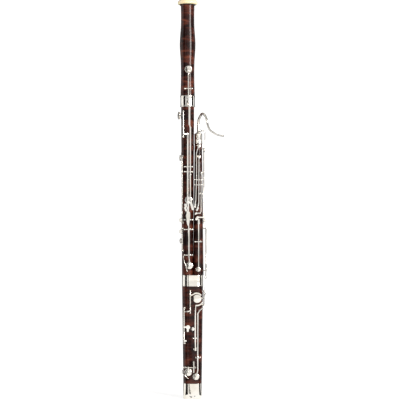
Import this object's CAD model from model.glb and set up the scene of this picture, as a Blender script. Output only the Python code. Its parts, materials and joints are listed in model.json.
"""The bassoon's looks: flamed maple, silver plate, ivory bell ring, bocal and studio."""
import json
import math

import bmesh
import bpy
from mathutils import Matrix, Vector

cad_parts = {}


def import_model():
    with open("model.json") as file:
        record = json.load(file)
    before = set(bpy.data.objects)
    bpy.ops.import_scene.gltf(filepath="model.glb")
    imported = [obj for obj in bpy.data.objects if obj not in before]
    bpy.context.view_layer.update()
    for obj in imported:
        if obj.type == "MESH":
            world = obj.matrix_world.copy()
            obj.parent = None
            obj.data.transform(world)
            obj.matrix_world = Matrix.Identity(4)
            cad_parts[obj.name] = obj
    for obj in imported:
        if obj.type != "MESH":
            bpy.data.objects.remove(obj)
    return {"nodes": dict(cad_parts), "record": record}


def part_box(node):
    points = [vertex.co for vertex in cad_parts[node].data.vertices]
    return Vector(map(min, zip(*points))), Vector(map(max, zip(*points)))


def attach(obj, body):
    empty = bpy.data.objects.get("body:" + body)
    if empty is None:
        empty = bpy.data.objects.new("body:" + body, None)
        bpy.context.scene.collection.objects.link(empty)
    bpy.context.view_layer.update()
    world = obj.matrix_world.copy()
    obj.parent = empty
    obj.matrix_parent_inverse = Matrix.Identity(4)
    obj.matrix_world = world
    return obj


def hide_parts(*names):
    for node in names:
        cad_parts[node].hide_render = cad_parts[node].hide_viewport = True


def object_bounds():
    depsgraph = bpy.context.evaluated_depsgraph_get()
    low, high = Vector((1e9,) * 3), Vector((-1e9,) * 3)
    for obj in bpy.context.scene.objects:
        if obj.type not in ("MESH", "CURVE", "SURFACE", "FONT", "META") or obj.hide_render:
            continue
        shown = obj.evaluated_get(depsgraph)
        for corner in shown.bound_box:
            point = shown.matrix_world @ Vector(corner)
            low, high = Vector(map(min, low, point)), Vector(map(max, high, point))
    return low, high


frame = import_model()
cad_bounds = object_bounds()

MM = 0.001
NODES = frame["nodes"]
SLOT_OF = {part["node"]: part["material_slot"] for part in frame["record"]["subparts"]}

CAD_WELD_M = 0.000002  # points of a carried-over mesh closer than this are one point
NEW_WELD_M = 0.000001  # the same, for a mesh that is made here
SMOOTH_LIMIT_DEG = 32  # edges that turn more than this stay sharp
BEVEL_LIMIT_DEG = 40  # edges that turn more than this are rounded
BEVEL_MM = {"silver_plate": 0.35, "steel": 0.15, "blued_steel": 0.1, "brass": 0.3, "maple": 0.6}

# ---------- materials ----------


class Shader:
    """A material, with short calls for the nodes that the finishes share."""

    def __init__(self, name):
        self.material = bpy.data.materials.new(name)
        self.material.use_nodes = True
        self.nodes = self.material.node_tree.nodes
        self.links = self.material.node_tree.links
        self.bsdf = self.nodes["Principled BSDF"]
        self.coords = self.nodes.new("ShaderNodeTexCoord").outputs["Object"]

    def set(self, **values):
        for name, value in values.items():
            self.bsdf.inputs[name.replace("_", " ")].default_value = value

    def stretched(self, scale):
        mapping = self.nodes.new("ShaderNodeMapping")
        mapping.inputs["Scale"].default_value = scale
        self.links.new(self.coords, mapping.inputs["Vector"])
        return mapping.outputs["Vector"]

    def noise(self, scale, detail=3.0, roughness=0.5, distortion=0.0):
        node = self.nodes.new("ShaderNodeTexNoise")
        node.inputs["Scale"].default_value = 1.0
        node.inputs["Detail"].default_value = detail
        node.inputs["Roughness"].default_value = roughness
        node.inputs["Distortion"].default_value = distortion
        self.links.new(self.stretched(scale), node.inputs["Vector"])
        return node.outputs["Fac"]

    def ramp(self, factor, stops):
        node = self.nodes.new("ShaderNodeValToRGB")
        elements = node.color_ramp.elements
        while len(elements) < len(stops):
            elements.new(0.5)
        for element, (position, colour) in zip(elements, stops):
            element.position = position
            element.color = (*colour, 1.0)
        self.links.new(factor, node.inputs["Fac"])
        return node.outputs["Color"]

    def multiply(self, amount, a, b):
        node = self.nodes.new("ShaderNodeMix")
        node.data_type = "RGBA"
        node.blend_type = "MULTIPLY"
        node.inputs["Factor"].default_value = amount
        self.links.new(a, node.inputs["A"])
        self.links.new(b, node.inputs["B"])
        return node.outputs["Result"]

    def spread(self, factor, low, high):
        node = self.nodes.new("ShaderNodeMapRange")
        node.inputs["To Min"].default_value = low
        node.inputs["To Max"].default_value = high
        self.links.new(factor, node.inputs["Value"])
        return node.outputs["Result"]

    def bump(self, height, distance, strength=0.3):
        node = self.nodes.new("ShaderNodeBump")
        node.inputs["Strength"].default_value = strength
        node.inputs["Distance"].default_value = distance
        self.links.new(height, node.inputs["Height"])
        self.links.new(node.outputs["Normal"], self.bsdf.inputs["Normal"])

    def colour(self, output):
        self.links.new(output, self.bsdf.inputs["Base Color"])

    def roughness(self, output):
        self.links.new(output, self.bsdf.inputs["Roughness"])


def maple():
    """Maple stained dark red-brown: curl bars across the grain, fine grain along it, lacquer."""
    s = Shader("maple")
    curl = s.noise((16, 16, 62), detail=4.0, roughness=0.55, distortion=0.6)
    wide = s.noise((9, 9, 17), detail=2.0)
    grain = s.noise((900, 900, 28), detail=4.0, roughness=0.65)
    bars = s.ramp(curl, [(0.30, (0.007, 0.0018, 0.0014)), (0.46, (0.022, 0.0050, 0.0034)),
                         (0.58, (0.075, 0.0180, 0.0100)), (0.74, (0.175, 0.046, 0.0210))])
    shade = s.ramp(wide, [(0.28, (0.42, 0.38, 0.38)), (0.70, (1.0, 1.0, 1.0))])
    streak = s.ramp(grain, [(0.32, (0.60, 0.55, 0.52)), (0.56, (1.0, 1.0, 1.0))])
    s.colour(s.multiply(0.75, s.multiply(1.0, bars, shade), streak))
    s.roughness(s.spread(grain, 0.24, 0.36))
    s.bump(grain, 0.00004, 0.15)
    s.set(Specular_IOR_Level=0.08, Coat_Weight=0.34, Coat_Roughness=0.13, Coat_IOR=1.5)
    return s.material


def silver_plate():
    """Polished silver plate: warm white, with faint rubbing marks and a little tarnish in patches."""
    s = Shader("silver_plate")
    rub = s.noise((240, 240, 60), detail=5.0, roughness=0.6)
    patch = s.noise((24, 24, 24), detail=3.0)
    s.colour(s.ramp(patch, [(0.30, (0.74, 0.70, 0.61)), (0.52, (0.84, 0.81, 0.75)),
                            (0.75, (0.88, 0.86, 0.82))]))
    s.roughness(s.spread(rub, 0.05, 0.13))
    s.bump(rub, 0.00002, 0.10)
    s.set(Metallic=1.0)
    return s.material


def ivory():
    """Pale cream bell ring, with faint wavy growth lines under a soft polish."""
    s = Shader("ivory")
    lines = s.noise((60, 60, 420), detail=3.0, distortion=0.4)
    cloud = s.noise((20, 20, 20), detail=2.0)
    base = s.ramp(cloud, [(0.3, (0.70, 0.58, 0.34)), (0.7, (0.84, 0.75, 0.52))])
    tint = s.ramp(lines, [(0.35, (0.88, 0.84, 0.76)), (0.6, (1.0, 1.0, 1.0))])
    s.colour(s.multiply(0.7, base, tint))
    s.roughness(s.spread(lines, 0.20, 0.32))
    s.bump(lines, 0.00003, 0.12)
    s.set(Subsurface_Weight=0.08, Coat_Weight=0.4, Coat_Roughness=0.12)
    return s.material


def cork():
    """Lapping cork: tan with dark pits."""
    s = Shader("cork")
    pits = s.noise((700, 700, 700), detail=4.0, roughness=0.7)
    s.colour(s.ramp(pits, [(0.34, (0.14, 0.07, 0.03)), (0.45, (0.50, 0.32, 0.16)),
                           (0.65, (0.66, 0.46, 0.26))]))
    s.roughness(s.spread(pits, 0.95, 0.75))
    s.bump(pits, 0.0002, 0.5)
    return s.material


def pad_leather():
    """Soft tan pad leather with fine pores."""
    s = Shader("pad_leather")
    pores = s.noise((1500, 1500, 1500), detail=3.0, roughness=0.6)
    cloud = s.noise((90, 90, 90), detail=2.0)
    base = s.ramp(cloud, [(0.3, (0.50, 0.36, 0.20)), (0.7, (0.70, 0.56, 0.38))])
    tint = s.ramp(pores, [(0.35, (0.78, 0.74, 0.70)), (0.6, (1.0, 1.0, 1.0))])
    s.colour(s.multiply(0.8, base, tint))
    s.roughness(s.spread(pores, 0.75, 0.55))
    s.bump(pores, 0.0001, 0.4)
    s.set(Sheen_Weight=0.2)
    return s.material


def plain_metal(name, dark, light, low, high):
    """Turned or drawn metal with fine marks: used for steel, blued springs and raw brass."""
    s = Shader(name)
    marks = s.noise((500, 500, 140), detail=4.0, roughness=0.6)
    s.colour(s.ramp(marks, [(0.35, dark), (0.65, light)]))
    s.roughness(s.spread(marks, low, high))
    s.bump(marks, 0.00003, 0.15)
    s.set(Metallic=1.0)
    return s.material


def hard_rubber():
    """Black ebonite: nearly black, faintly brown, with a dull polish."""
    s = Shader("hard_rubber")
    cloud = s.noise((120, 120, 120), detail=3.0)
    s.colour(s.ramp(cloud, [(0.3, (0.010, 0.009, 0.008)), (0.7, (0.022, 0.018, 0.015))]))
    s.roughness(s.spread(cloud, 0.28, 0.42))
    s.bump(cloud, 0.00003, 0.1)
    return s.material


MATERIALS = {
    "maple": maple(),
    "silver_plate": silver_plate(),
    "ivory": ivory(),
    "cork": cork(),
    "pad_leather": pad_leather(),
    "hard_rubber": hard_rubber(),
    "steel": plain_metal("steel", (0.40, 0.40, 0.41), (0.60, 0.60, 0.61), 0.22, 0.34),
    "blued_steel": plain_metal("blued_steel", (0.05, 0.08, 0.18), (0.12, 0.17, 0.32), 0.25, 0.38),
    "brass": plain_metal("brass", (0.62, 0.42, 0.15), (0.80, 0.60, 0.28), 0.25, 0.40),
}

# ---------- shading of the carried-over parts ----------


def smooth_group(name):
    """A modifier's node group: joins split points and shades smooth, save at the sharp edges."""
    group = bpy.data.node_groups.new(name, "GeometryNodeTree")
    group.interface.new_socket("Geometry", in_out="INPUT", socket_type="NodeSocketGeometry")
    group.interface.new_socket("Geometry", in_out="OUTPUT", socket_type="NodeSocketGeometry")
    nodes = group.nodes
    links = group.links
    start = nodes.new("NodeGroupInput")
    end = nodes.new("NodeGroupOutput")
    weld = nodes.new("GeometryNodeMergeByDistance")
    weld.inputs["Distance"].default_value = CAD_WELD_M
    faces = nodes.new("GeometryNodeSetShadeSmooth")
    faces.domain = "FACE"
    edges = nodes.new("GeometryNodeSetShadeSmooth")
    edges.domain = "EDGE"
    edges.inputs["Shade Smooth"].default_value = False
    angle = nodes.new("GeometryNodeInputMeshEdgeAngle")
    over = nodes.new("ShaderNodeMath")
    over.operation = "GREATER_THAN"
    over.inputs[1].default_value = math.radians(SMOOTH_LIMIT_DEG)
    links.new(start.outputs[0], weld.inputs["Geometry"])
    links.new(weld.outputs["Geometry"], faces.inputs["Geometry"])
    links.new(faces.outputs["Geometry"], edges.inputs["Geometry"])
    links.new(angle.outputs["Unsigned Angle"], over.inputs[0])
    links.new(over.outputs["Value"], edges.inputs["Selection"])
    links.new(edges.outputs["Geometry"], end.inputs[0])
    return group


SMOOTH = smooth_group("smooth_by_angle")


def dress(node):
    """Gives a CAD node its material, soft edges and smooth shading."""
    obj = NODES[node]
    slot = SLOT_OF[node]
    obj.data.materials.clear()
    obj.data.materials.append(MATERIALS[slot])
    weld = obj.modifiers.new("weld", "WELD")
    weld.merge_threshold = CAD_WELD_M
    if slot in BEVEL_MM:
        bevel = obj.modifiers.new("bevel", "BEVEL")
        bevel.width = BEVEL_MM[slot] * MM
        bevel.segments = 2
        bevel.limit_method = "ANGLE"
        bevel.angle_limit = math.radians(BEVEL_LIMIT_DEG)
        bevel.use_clamp_overlap = True
    obj.modifiers.new("smooth", "NODES").node_group = SMOOTH


for node_name in NODES:
    dress(node_name)

# ---------- helpers for new pieces ----------


def add_piece(name, bm, body, slot, replaces=()):
    """Turns a bmesh into a piece that rides on a body and wears a slot's material."""
    bmesh.ops.remove_doubles(bm, verts=bm.verts, dist=NEW_WELD_M)
    bmesh.ops.recalc_face_normals(bm, faces=bm.faces)
    mesh = bpy.data.meshes.new(name)
    bm.to_mesh(mesh)
    bm.free()
    obj = bpy.data.objects.new(name, mesh)
    bpy.context.scene.collection.objects.link(obj)
    mesh.materials.append(MATERIALS[slot])
    obj.modifiers.new("smooth", "NODES").node_group = SMOOTH
    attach(obj, body)
    if replaces:
        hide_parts(*replaces)


def rounded(points, steps=6):
    """A smooth line through outline points (radius, height), by Catmull-Rom."""
    out = []
    last = len(points) - 1
    for i in range(last):
        p0, p1 = points[max(i - 1, 0)], points[i]
        p2, p3 = points[i + 1], points[min(i + 2, last)]
        for k in range(steps):
            t = k / steps
            out.append(tuple(
                0.5 * ((2 * b) + (c - a) * t + (2 * a - 5 * b + 4 * c - d) * t * t
                       + (3 * b - a - 3 * c + d) * t ** 3)
                for a, b, c, d in zip(p0, p1, p2, p3)))
    return out + [points[last]]


def middle_of(node):
    """The middle of a CAD node's box."""
    low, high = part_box(node)
    return (low + high) / 2


def band(bm, low, high):
    """Joins two rings of points with quads."""
    for k in range(len(low)):
        n = (k + 1) % len(low)
        bm.faces.new((low[k], low[n], high[n], high[k]))


def lathe(bm, outline, centre, sides=96):
    """Turns a closed outline of (radius, height) about the upright axis through centre."""
    rings = []
    for radius, height in outline:
        rings.append([bm.verts.new((centre[0] + radius * math.cos(math.tau * k / sides),
                                    centre[1] + radius * math.sin(math.tau * k / sides), height))
                      for k in range(sides)])
    for low, high in zip(rings, rings[1:] + rings[:1]):
        band(bm, low, high)


def sweep(bm, centres, radii, sides=32):
    """A round tube along centres that start upright, each with its own radius.

    The first ring is closed, and the last is returned."""
    last = len(centres) - 1
    rings = []
    normal = Vector((0, 1, 0))
    for i, centre in enumerate(centres):
        along = (centres[min(i + 1, last)] - centres[max(i - 1, 0)]).normalized()
        normal = (normal - along * normal.dot(along)).normalized()
        side = along.cross(normal)
        rings.append([bm.verts.new(centre + radii[i] * (normal * math.cos(math.tau * k / sides)
                                                        + side * math.sin(math.tau * k / sides)))
                      for k in range(sides)])
    for low, high in zip(rings, rings[1:]):
        band(bm, low, high)
    bm.faces.new(list(reversed(rings[0])))
    return rings[-1]


# ---------- replaced pieces: bell, bell ring, bocal ----------

LONG_AXIS = middle_of("bell_ring")
WING_AXIS = middle_of("wing_ferrule")
BELL_FOOT_MM = 1022  # where the bell's wood shows above its ferrule
BELL_PAD_MM = 1108  # height of the low B-flat pad's middle
BOCAL_FOOT_MM = 862  # the bocal's hidden lower end, in the wing joint
BOCAL_TURN = math.radians(-60)  # the bend's plane, turned from the right toward the viewer
BOCAL_POINTS = [(0, 905), (0, 927), (2, 937), (6, 945), (13, 952), (20, 957.5), (28, 960), (36, 958),
                (44, 953), (51, 946), (57, 937), (61, 924), (68, 912), (78, 902), (92, 896), (108, 890),
                (126, 884.5), (145, 881), (164, 878.4)]  # (reach, height) in mm


def bell_wood():
    """The bell in one turned skin: swelling outside, widening bore inside."""
    low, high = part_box("bell_body")
    foot = BELL_FOOT_MM * MM
    outside = [(24.2, 0), (23.2, 32), (22.6, 66), (22.7, 92), (23.4, 118), (25.2, 144), (26.4, 168),
               (26.2, 184), (24.9, 206), (23.1, 229), (22.5, 250), (22.4, 276), (22.9, 296),
               (23.0, 305.5)]
    outline = rounded([(r * MM, foot + z * MM) for r, z in outside])
    top = high.z
    bore_top, bore_low = 19.4 * MM, 15.6 * MM
    socket_r, socket_top = 18.7 * MM, low.z + 28 * MM
    ferrule_seat = 20.4 * MM
    outline += [(bore_top, top), (bore_low, socket_top), (socket_r, socket_top), (socket_r, low.z),
                (ferrule_seat, low.z), (ferrule_seat, foot - 0.1 * MM)]
    outline = [(r, min(z, top)) for r, z in outline]
    bm = bmesh.new()
    lathe(bm, outline, LONG_AXIS)
    add_piece("bell_wood", bm, "instrument", "maple", ("bell_body",))


def bell_tone_hole():
    """The raised seat under the low B-flat pad."""
    rim, hole, front, depth, round_off = 11 * MM, 8.5 * MM, -24 * MM, 6 * MM, 0.6 * MM
    bm = bmesh.new()
    outline = [(hole, 0), (rim - round_off, 0), (rim, round_off), (rim, depth), (hole, depth)]
    lathe(bm, outline, (0, 0), sides=64)
    place = Matrix.Translation((middle_of("bell_pad").x, front, BELL_PAD_MM * MM))
    bm.transform(place @ Matrix.Rotation(-math.pi / 2, 4, "X"))
    add_piece("bell_tone_hole", bm, "instrument", "maple")


def ivory_ring():
    """The bell ring: a rounded rim over a small cove, with a hollowed top."""
    low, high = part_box("bell_ring")
    height = (high.z - low.z) / MM
    radius = (high.x - low.x) / 2 / MM
    outside = [(19.7, 0.2), (23.4, 0), (25.2, 1.0), (28.4, 1.9), (31.4, 2.9), (radius - 0.2, 4.9),
               (radius, 7.0), (radius - 0.7, 10.0), (31.1, 13.4), (27.9, 16.4), (24.6, height - 0.1),
               (22.4, height - 0.3), (20.6, height - 1.4), (19.7, height - 3.2)]
    outline = rounded([(r * MM, low.z + z * MM) for r, z in outside], steps=5)
    outline = [(min(r, radius * MM), min(max(z, low.z), high.z)) for r, z in outline]
    bm = bmesh.new()
    lathe(bm, outline, LONG_AXIS)
    add_piece("bell_ring_ivory", bm, "instrument", "ivory", ("bell_ring",))
    bm = bmesh.new()
    groove = [(22.9, -1.6), (24.6, -0.9), (27.2, 0.3), (27.7, 1.3), (25.2, 0.7), (22.9, -0.1)]
    lathe(bm, [(r * MM, low.z + z * MM) for r, z in groove], LONG_AXIS)
    add_piece("bell_ring_seal", bm, "instrument", "hard_rubber")


def bocal_tube():
    """The bocal: a long taper bent in one plane, hollow at its tip, with a collar at its foot."""
    base, tip, wall, hollow = 4.75 * MM, 2.42 * MM, 0.45 * MM, 14 * MM
    line = [(0, z) for z in range(BOCAL_FOOT_MM, BOCAL_POINTS[0][1], 4)]
    line += rounded(BOCAL_POINTS, steps=7)
    centres = [Vector((WING_AXIS.x + s * MM * math.cos(BOCAL_TURN),
                       WING_AXIS.y + s * MM * math.sin(BOCAL_TURN), z * MM)) for s, z in line]
    run = [0.0]
    for a, b in zip(centres, centres[1:]):
        run.append(run[-1] + (b - a).length)
    radii = [base + (tip - base) * (d / run[-1]) for d in run]
    bm = bmesh.new()
    rim = sweep(bm, centres, radii)
    end = centres[-1]
    inward = (centres[-2] - end).normalized() * hollow
    inner = [bm.verts.new(end + (v.co - end) * (1 - wall / tip)) for v in rim]
    deep = [bm.verts.new(v.co + inward) for v in inner]
    band(bm, rim, inner)
    band(bm, inner, deep)
    bm.faces.new(deep)
    add_piece("bocal_bent_tube", bm, "bocal", "silver_plate", ("bocal_tube",))
    bm = bmesh.new()
    collar = [(4.5, 896.8), (5.6, 896.8), (6.0, 897.4), (6.0, 898.8), (5.6, 899.5), (4.5, 899.5)]
    lathe(bm, [(r * MM, z * MM) for r, z in collar], WING_AXIS, sides=48)
    add_piece("bocal_collar", bm, "bocal", "silver_plate")


bell_wood()
bell_tone_hole()
ivory_ring()
bocal_tube()

# ---------- studio ----------

BACKDROP_GLOW = 0.66
DARK_CARDS_DEG = {"left": (-72, -34), "left_front": (-20, -9), "right": (68, 104),
                  "back_left": (-174, -126), "back_right": (126, 174)}  # 0 is the front, 90 the right
SOFTBOX = {"place": (2.7, -2.6, 2.0), "target": (0, 0, 0.7), "size": (1.2, 2.4), "power": 190,
           "colour": (1.0, 0.95, 0.91)}
LENS_MM = 106
SENSOR_MM = 36
EYE_DISTANCE_M = 3.98
AIM_X_M = 0.0253  # the photo's middle, right of the long joint's axis
AIM_DROP_M = 0.003  # how far the photo's middle is under the object's


def paper(name, colour, glow=0.0):
    """A matt card; glow is how brightly a sheet lit from behind shines by itself."""
    material = bpy.data.materials.new(name)
    material.use_nodes = True
    bsdf = material.node_tree.nodes["Principled BSDF"]
    bsdf.inputs["Base Color"].default_value = (*colour, 1)
    bsdf.inputs["Roughness"].default_value = 0.9
    bsdf.inputs["Specular IOR Level"].default_value = 0.0
    bsdf.inputs["Emission Color"].default_value = (1, 1, 1, 1)
    bsdf.inputs["Emission Strength"].default_value = glow
    return material


def stage_sheet(name, rows, material):
    """A sheet through rows of points, marked as part of the studio and not of the object."""
    bm = bmesh.new()
    verts = [[bm.verts.new(point) for point in row] for row in rows]
    for a, b in zip(verts, verts[1:]):
        for k in range(len(a) - 1):
            bm.faces.new((a[k], a[k + 1], b[k + 1], b[k]))
    mesh = bpy.data.meshes.new(name)
    bm.to_mesh(mesh)
    bm.free()
    for polygon in mesh.polygons:
        polygon.use_smooth = True
    mesh.materials.append(material)
    obj = bpy.data.objects.new(name, mesh)
    bpy.context.scene.collection.objects.link(obj)
    return obj


def round_backdrop():
    """A pale round floor that curves up into a wall on every side."""
    radius, bend, top, steps, sides = 6.0, 1.5, 6.0, 12, 72
    line = [(0.01, 0.0), (radius - bend, 0.0)]
    line += [(radius - bend + bend * math.sin(a), bend - bend * math.cos(a))
             for a in (math.pi / 2 * k / steps for k in range(1, steps + 1))]
    line.append((radius, top))
    rows = [[(reach * math.cos(math.tau * k / sides), reach * math.sin(math.tau * k / sides), height)
             for k in range(sides + 1)] for reach, height in line]
    stage_sheet("backdrop", rows, paper("pale_paper", (0.42, 0.42, 0.42), BACKDROP_GLOW))


def dark_card(name, from_deg, to_deg):
    """A black card out along the floor and up, seen only in the shine."""
    steps, near, distance, floor, high = 8, 0.05, 2.4, 0.002, 3.4
    rows = []
    for k in range(steps + 1):
        angle = math.radians(from_deg + (to_deg - from_deg) * k / steps)
        across, along = math.sin(angle), -math.cos(angle)
        rows.append([(reach * across, reach * along, height)
                     for reach, height in ((near, floor), (distance, floor), (distance, high))])
    card = stage_sheet(name, rows, paper(name, (0.012, 0.010, 0.010)))
    card.visible_camera = False
    card.visible_diffuse = False
    card.visible_shadow = False


def area_light(name, place, target, size, power, colour):
    """A rectangular softbox that faces its target."""
    data = bpy.data.lights.new(name, "AREA")
    data.shape = "RECTANGLE"
    data.size, data.size_y = size
    data.energy = power
    data.color = colour
    obj = bpy.data.objects.new(name, data)
    obj.location = place
    obj.rotation_euler = (Vector(target) - Vector(place)).to_track_quat("-Z", "Y").to_euler()
    bpy.context.scene.collection.objects.link(obj)


def world():
    """Even, bright studio air."""
    scene_world = bpy.data.worlds.new("studio")
    bpy.context.scene.world = scene_world
    scene_world.use_nodes = True
    background = scene_world.node_tree.nodes["Background"]
    background.inputs["Color"].default_value = (1.0, 0.985, 0.96, 1)
    background.inputs["Strength"].default_value = 0.5


def camera():
    """Square on to the object, as in the photo."""
    low, high = cad_bounds
    data = bpy.data.cameras.new("camera")
    data.lens = LENS_MM
    data.sensor_width = SENSOR_MM
    obj = bpy.data.objects.new("camera", data)
    obj.location = (AIM_X_M, -EYE_DISTANCE_M, (low[2] + high[2]) / 2 - AIM_DROP_M)
    obj.rotation_euler = (math.pi / 2, 0, 0)
    bpy.context.scene.collection.objects.link(obj)
    bpy.context.scene.camera = obj


round_backdrop()
world()
for side, span in DARK_CARDS_DEG.items():
    dark_card("dark_card_" + side, *span)
area_light("softbox_right", **SOFTBOX)
camera()
bpy.context.scene.view_settings.view_transform = "Standard"
